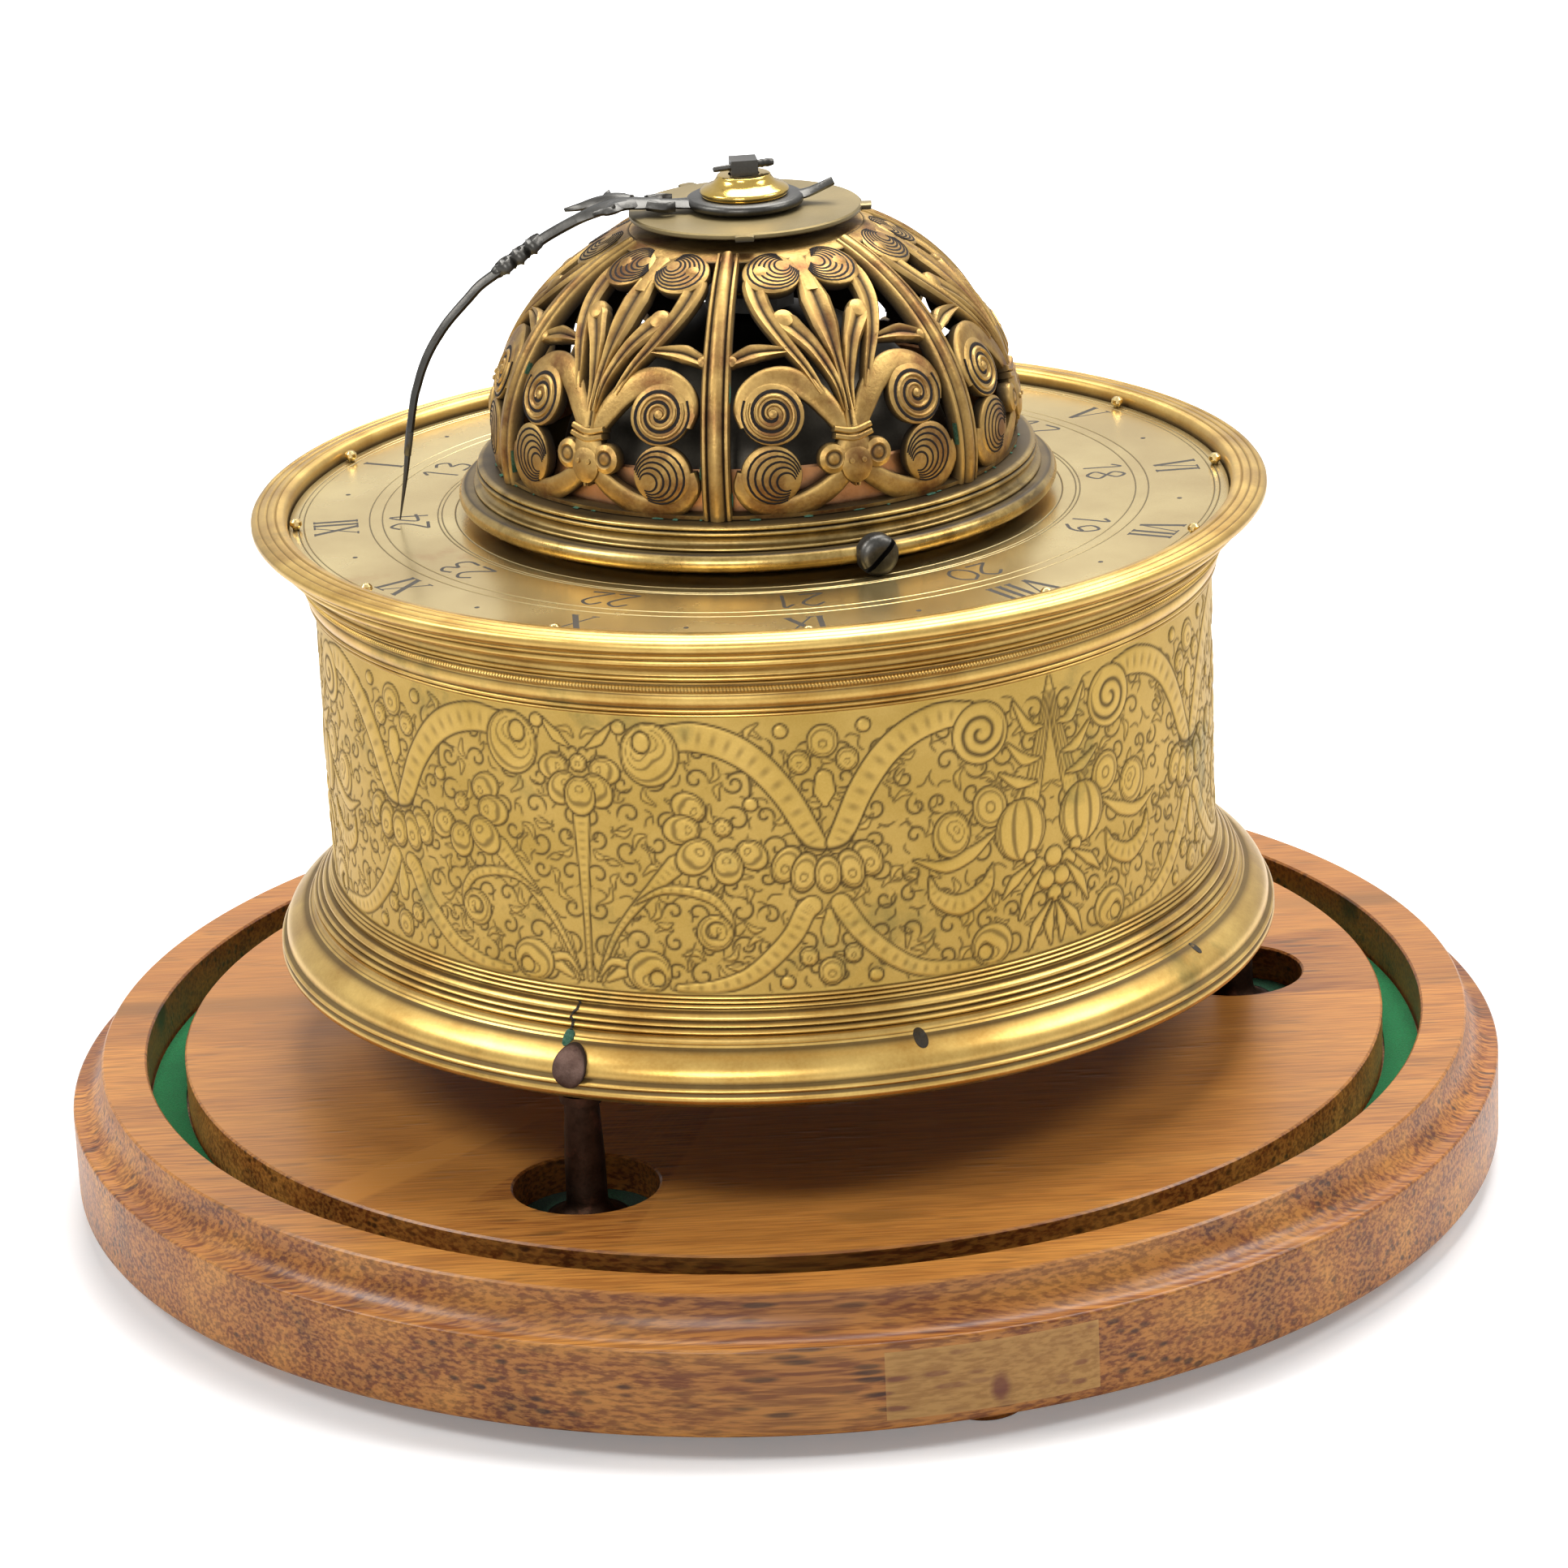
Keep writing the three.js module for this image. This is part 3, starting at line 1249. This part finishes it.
const bracketTop = crownAxisHeight + bracketWidth / 2;
function crownBracket(distance) {
  const post = block(bracketThickness, bracketWidth, bottomPlateTop + seatGap, bracketTop)
    .translate(distance, 0, 0);
  const bearing = cylinder(boreRadius(pivotRadius), -bracketWidth, bracketWidth, tinySides)
    .rotateY(90 * degrees).translate(distance, 0, crownAxisHeight);
  return at(cut(post, [bearing]).rotateZ(crownFromContrate * degrees), contratePlace);
}
piece('crown_bracket_inner', crownBracket(crownBracketNear), 'movementBrass');
piece('crown_bracket_outer', crownBracket(crownBracketFar), 'movementBrass');

// Verge with two pallets, balance wheel and cock

const balanceTop = bottomPlateBottom - balanceDrop;
const balanceBottom = balanceTop - balanceThickness;
const cockTop = balanceBottom - cockDrop;
const cockBottom = cockTop - cockThickness;
const palletReach = vergeStandOff - runningGap;
function pallet(height, spread) {
  return block(palletReach, palletThickness, height - palletHeight / 2, height + palletHeight / 2)
    .translate(palletReach / 2, 0, 0).rotateZ((crownFromContrate + 180 + spread) * degrees);
}
const palletOffset = crownRadius - crownRim / 2;
piece('verge', at(unite([
  turned([
    [0, cockBottom],
    [verge * 0.7, cockBottom],
    [verge * 0.7, cockTop + runningGap],
    [verge, cockTop + runningGap],
    [verge, topPlateBottom - runningGap],
    [verge * 0.7, topPlateBottom - runningGap],
    [verge * 0.7, topPlateTop],
    [0, topPlateTop],
  ], tinySides),
  pallet(crownAxisHeight + palletOffset, palletSpreadDeg),
  pallet(crownAxisHeight - palletOffset, -palletSpreadDeg),
]), vergePlace), 'steel');
const balanceShape = disc(balanceRadius, middleSides);
const balanceInside = balanceRadius - balanceRim;
balanceShape.holes.push(hole(centre, boreRadius(verge)));
for (const side of [0, 180]) {
  const inner = Math.asin(balanceHubRadius / 2 / balanceHubRadius) / degrees;
  const outer = Math.asin(balanceHubRadius / 2 / balanceInside) / degrees;
  const points = [polar(balanceHubRadius, side + inner), polar(balanceHubRadius, side + 90),
    polar(balanceHubRadius, side + 180 - inner)];
  for (let i = 0; i <= 6; i += 1) {
    points.push(polar(balanceInside, side + 180 - outer - ((180 - 2 * outer) * i) / 6));
  }
  const path = new THREE.Path();
  path.setFromPoints(points.map((p) => new THREE.Vector2(p.x, p.y)));
  balanceShape.holes.push(path);
}
piece('balance_wheel', at(raised(balanceShape, balanceBottom, balanceTop), vergePlace), 'iron');
const cockEnd = polar(cockReach, cockDirection);
const cockBar = block(cockReach, cockWidth, cockBottom, cockTop).translate(cockReach / 2, 0, 0)
  .rotateZ(cockDirection * degrees);
piece('balance_cock', at(cut(unite([
  cockBar,
  cylinder(cockWidth / 2 + seatGap, cockBottom + seatGap, cockTop - seatGap, smallSides),
  at(cylinder(cockFootRadius, cockBottom, bottomPlateBottom - seatGap, smallSides), cockEnd),
]), [cylinder(boreRadius(verge), cockBottom - cutOverrun, cockTop + cutOverrun, tinySides)]),
vergePlace), 'movementBrass');

// Hour wheel on the hand arbor

const hourPipe = ring(boreRadius(handArborRadius), handArborRadius + 4 * runningGap + wheelThickness,
  hourWheelBottom + seatGap, dialBottom - 2 * runningGap, smallSides);
piece('hour_wheel', unite([
  wheel(hourModule, hourTeeth, facing(hourDirection, hourTeeth), hourWheelBottom, hourWheelTop,
    boreRadius(handArborRadius)),
  hourPipe,
]), 'movementBrass');

// Striking train

piece('strike_arbor', at(unite([
  arbor(arborRadius, bottomPlateBottom - runningGap),
  block(windingSquare, windingSquare, windingEnd, bottomPlateBottom - runningGap),
]), strikePlace), 'steel');
const strikeWheelShape = gearShape(strikeModule, strikeTeeth, pinFromStrike, wheelForm);
strikeWheelShape.holes.push(hole(centre, wheelBore));
piece('strike_barrel', unite([
  at(raised(strikeWheelShape, greatWheelBottom, greatWheelTop), strikePlace),
  at(ring(wheelBore, barrelRadius / 2, greatWheelTop - seatGap, barrelBottom + seatGap, tinySides),
    strikePlace),
  barrelBody(strikePlace, barrelRadius),
]), 'movementBrass');
piece('strike_barrel_cap', barrelCap(strikePlace, barrelRadius), 'movementBrass');
piece('strike_mainspring', mainspring(strikePlace, barrelRadius), 'steel');

const countTop = bottomPlateBottom - countWheelDrop;
const countBottom = countTop - countWheelThickness;
const pinCircle = pitchRadius(pinWheelModule, pinWheelTeeth) * 0.86;
const liftingPins = Array.from({ length: liftingPinCount }, (_, i) => at(
  cylinder(liftingPinRadius, upperWheelTop - seatGap, upperWheelTop + liftingPinHeight, 5),
  polar(pinCircle, (360 * (i + 0.5)) / liftingPinCount),
));
piece('pin_wheel', at(unite([
  arbor(arborRadius, countBottom - pinionOverlap),
  pinion(strikeModule, pinPinionTeeth, facing(pinFromStrike, pinPinionTeeth),
    greatWheelBottom - pinionOverlap, greatWheelTop + pinionOverlap),
  pinion(countModule, countPinionTeeth, countFromPin, countBottom - pinionOverlap,
    countTop + pinionOverlap),
  wheel(pinWheelModule, pinWheelTeeth, warningFromPin, upperWheelBottom, upperWheelTop, pivotRadius),
  ...liftingPins,
]), pinPlace), 'movementBrass');
piece('warning_wheel', at(unite([
  arbor(),
  pinion(pinWheelModule, warningPinionTeeth, facing(warningFromPin, warningPinionTeeth),
    upperWheelBottom - pinionOverlap, upperWheelTop + pinionOverlap),
  wheel(warningModule, warningTeeth, flyFromWarning, warningWheelBottom, warningWheelTop, pivotRadius),
]), warningPlace), 'movementBrass');
piece('fly', at(unite([
  arbor(pivotRadius + runningGap),
  pinion(warningModule, flyPinionTeeth, facing(flyFromWarning, flyPinionTeeth),
    warningWheelBottom - pinionOverlap, warningWheelTop + pinionOverlap),
  block(2 * flyRadius, flyVaneThickness, flyVaneBottom, flyVaneBottom + flyVaneHeight),
]), flyPlace), 'steel');

// Count wheel: a toothed wheel with a locking disc below it, one notch for each hour's count.
const strokesInHalfDay = (hourCount * (hourCount + 1)) / 2;
const lockingOutline = Array.from({ length: hourCount }, (_, i) => {
  const turn = (360 * ((i * (i + 1)) / 2)) / strokesInHalfDay;
  const nextTurn = (360 * (((i + 1) * (i + 2)) / 2)) / strokesInHalfDay;
  const half = Math.asin(lockingNotchWidth / 2 / lockingDiscRadius) / degrees;
  const floor = lockingDiscRadius - lockingNotchDepth;
  const between = i > hourCount / 4 ? [polar(lockingDiscRadius, (turn + nextTurn) / 2)] : [];
  return [
    polar(lockingDiscRadius, turn - half), polar(floor, turn - half),
    polar(floor, turn + half), polar(lockingDiscRadius, turn + half), ...between,
  ];
}).flat();
const lockingShape = new THREE.Shape(lockingOutline.map((p) => new THREE.Vector2(p.x, p.y)));
lockingShape.holes.push(hole(centre, wheelBore));
const lockingDisc = raised(lockingShape, countBottom - lockingDiscThickness, countBottom + seatGap);
piece('count_wheel', at(unite([
  wheel(countModule, countTeeth, facing(countFromPin, countTeeth), countBottom, countTop, wheelBore),
  lockingDisc,
]), countPlace), 'movementBrass');

// Hammer: an upright arbor through the dial, an arm with a head beside the bell, and a tail
// that ends just short of the lifting pins.
const hammerFoot = upperWheelTop - bracketFootThickness;
const armBottom = dialTop + hammerArmRise;
const armTop = armBottom + hammerArmThickness;
const headDistance = bellRadius + hammerBellGap + hammerHeadRadius;
const headPlace = polar(headDistance, hammerAngle - hammerSweepDeg);
const armLength = Math.hypot(headPlace.x - hammerPlace.x, headPlace.y - hammerPlace.y);
const armDirection = Math.atan2(headPlace.y - hammerPlace.y, headPlace.x - hammerPlace.x);
const pinsDistance = Math.hypot(pinPlace.x - hammerPlace.x, pinPlace.y - hammerPlace.y);
const tailDirection = Math.atan2(pinPlace.y - hammerPlace.y, pinPlace.x - hammerPlace.x);
const tailLength = pinsDistance - pinCircle - liftingPinRadius - hammerTailGap;
const tailBottom = upperWheelTop + runningGap;
const tailTop = upperWheelTop + liftingPinHeight;
piece('hammer', at(unite([
  cylinder(hammerArborRadius, hammerFoot, armTop, tinySides),
  block(armLength, hammerArmWidth, armBottom + seatGap, armTop - seatGap).translate(armLength / 2, 0, 0)
    .rotateZ(armDirection),
  cylinder(hammerHeadRadius, armBottom - seatGap, armBottom + hammerHeadLength, tinySides)
    .translate(armLength * Math.cos(armDirection), armLength * Math.sin(armDirection), 0),
  block(tailLength, hammerArmWidth, tailBottom, tailTop).translate(tailLength / 2, 0, 0)
    .rotateZ(tailDirection),
]), hammerPlace), 'iron');
// Plates with their bearings, and the pillars between them

const pillarPlaces = pillarAnglesDeg.map((angle) => polar(pillarCircle, angle));
const plateOutline = () => disc(plateRadius, largeSides);
const pivotPlaces = [secondPlace, contratePlace, warningPlace, flyPlace, barrelPlace, pinPlace, fuseePlace,
  strikePlace];

const bottomShape = plateOutline();
for (const place of pivotPlaces) bottomShape.holes.push(hole(place, boreRadius(pivotRadius)));
bottomShape.holes.push(hole(vergePlace, boreRadius(verge)));
for (const place of pillarPlaces) bottomShape.holes.push(hole(place, boreRadius(pillarTenonRadius)));
const countStud = at(unite([
  cylinder(arborRadius, countBottom - 2 * lockingDiscThickness, bottomPlateBottom + cutOverrun, tinySides),
  cylinder(2 * arborRadius, countBottom - 2 * lockingDiscThickness - seatGap,
    countBottom - lockingDiscThickness - runningGap, tinySides),
  cylinder(2 * arborRadius, countTop + runningGap, bottomPlateBottom + seatGap, tinySides),
]), countPlace);
piece('bottom_plate', unite([raised(bottomShape, bottomPlateBottom, bottomPlateTop), countStud]),
  'movementBrass');

const topShape = plateOutline();
for (const place of pivotPlaces) topShape.holes.push(hole(place, boreRadius(pivotRadius)));
topShape.holes.push(hole(vergePlace, boreRadius(verge)));
topShape.holes.push(hole(centre, boreRadius(handPivotRadius)));
topShape.holes.push(hole(hammerPlace, boreRadius(hammerArborRadius)));
const bracketFootBottom = hammerFoot - seatGap;
const hammerBearing = cylinder(boreRadius(hammerArborRadius), bracketFootBottom - cutOverrun,
  tailBottom, tinySides);
const hammerBracket = cut(block(bracketStandOff + bracketWidth, bracketWidth, bracketFootBottom,
  bracketFootBottom + bracketFootThickness).translate(-bracketStandOff / 2, 0, 0), [hammerBearing]);
const bracketPost = block(bracketThickness, bracketWidth, bracketFootBottom, topPlateBottom + seatGap)
  .translate(-bracketStandOff - bracketWidth / 2 + bracketThickness / 2, 0, 0);
piece('top_plate', unite([
  raised(topShape, topPlateBottom, topPlateTop),
  at(unite([hammerBracket, bracketPost]).rotateZ(tailDirection + 90 * degrees), hammerPlace),
]), 'movementBrass');

const pillarBottom = bottomPlateTop + seatGap;
const pillarTop = topPlateBottom - seatGap;
const pillarProfile = [
  [0, bottomPlateBottom - plateThickness],
  [pillarTenonRadius, bottomPlateBottom - plateThickness],
  [pillarTenonRadius, pillarBottom],
  [pillarKnopRadius, pillarBottom],
  [pillarKnopRadius, pillarBottom + pillarKnopRadius],
  [pillarRadius, pillarBottom + 2 * pillarKnopRadius],
  [pillarRadius, pillarTop - 2 * pillarKnopRadius],
  [pillarKnopRadius, pillarTop - pillarKnopRadius],
  [pillarKnopRadius, pillarTop],
  [0, pillarTop],
];
pillarPlaces.forEach((place, i) => {
  piece(`pillar_${i + 1}`, at(turned(pillarProfile, tinySides), place), 'movementBrass');
});

export default clock;
